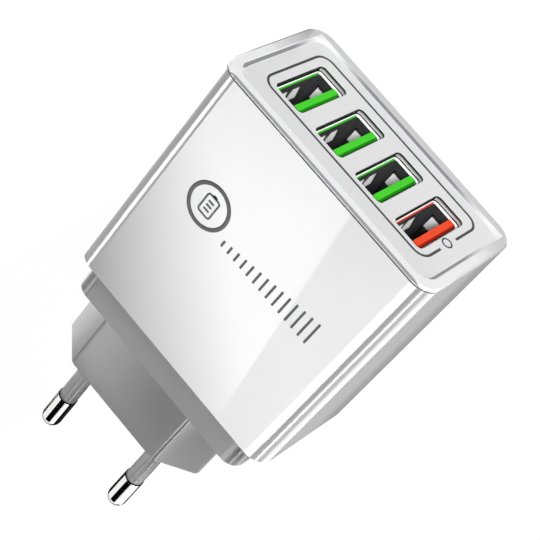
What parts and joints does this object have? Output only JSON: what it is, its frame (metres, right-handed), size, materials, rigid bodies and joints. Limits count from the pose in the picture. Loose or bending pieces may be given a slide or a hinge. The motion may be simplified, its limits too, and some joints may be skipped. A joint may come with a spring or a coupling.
{
  "type": "multi port usb wall charger",
  "caption": "Palm-size wall charger: glossy rounded box with a row of upright USB-A ports in a sunk end panel, and a stepped grey European plug with round pins at the other end.",
  "frame": {"origin": "middle of the plain back that it lies on, below the middle of the whole length, pins included", "axes": "+Y along the plug pins, out of the plug; the ports face -Y; +Z out of the printed face; the first port of the row is at +X"},
  "size_m": [0.0462, 0.0918, 0.027],
  "materials": {
    "white_gloss": "glossy white moulded plastic",
    "plug_grey": "satin light grey moulded plastic",
    "sleeve_grey": "satin light grey plastic",
    "pin_nickel": "bright nickel plate",
    "usb_steel": "bright tinned steel sheet",
    "port_green": "satin green plastic",
    "port_red": "satin orange-red plastic",
    "contact_gold": "gold flash",
    "strip_brass": "plain brass strip",
    "board_green": "green solder mask",
    "ferrite": "dark sintered ferrite",
    "coil_copper": "lacquered copper wire",
    "tape_yellow": "yellow winding tape",
    "chip_black": "black moulding compound",
    "can_aluminium": "drawn aluminium",
    "fuse_ceramic": "pale ceramic"
  },
  "bodies": {
    "root": {"housing": "white_gloss", "face_plate": "white_gloss", "plug_base": "plug_grey", "pin_sleeve_left": "sleeve_grey", "pin_sleeve_right": "sleeve_grey", "plug_pin_left": "pin_nickel", "plug_pin_right": "pin_nickel", "usb_shell_1": "usb_steel", "usb_shell_2": "usb_steel", "usb_shell_3": "usb_steel", "usb_shell_4": "usb_steel", "usb_insulator_1": "port_green", "usb_insulator_2": "port_green", "usb_insulator_3": "port_green", "usb_insulator_4": "port_red", "usb_contacts_1": "contact_gold", "usb_contacts_2": "contact_gold", "usb_contacts_3": "contact_gold", "usb_contacts_4": "contact_gold", "contact_strip_left": "strip_brass", "contact_strip_right": "strip_brass", "port_board": "board_green", "main_board": "board_green", "transformer_core": "ferrite", "input_choke": "ferrite", "choke_winding": "coil_copper", "transformer_winding": "tape_yellow", "transformer_bobbin": "chip_black", "board_header": "chip_black", "controller_chip": "chip_black", "port_controllers": "chip_black", "optocoupler": "chip_black", "bridge_rectifier": "chip_black", "switching_transistor": "chip_black", "bulk_capacitor_1": "can_aluminium", "bulk_capacitor_2": "can_aluminium", "output_capacitor_1": "can_aluminium", "output_capacitor_2": "can_aluminium", "output_capacitor_3": "can_aluminium", "heat_sink": "can_aluminium", "mains_fuse": "fuse_ceramic"}
  },
  "joints": []
}
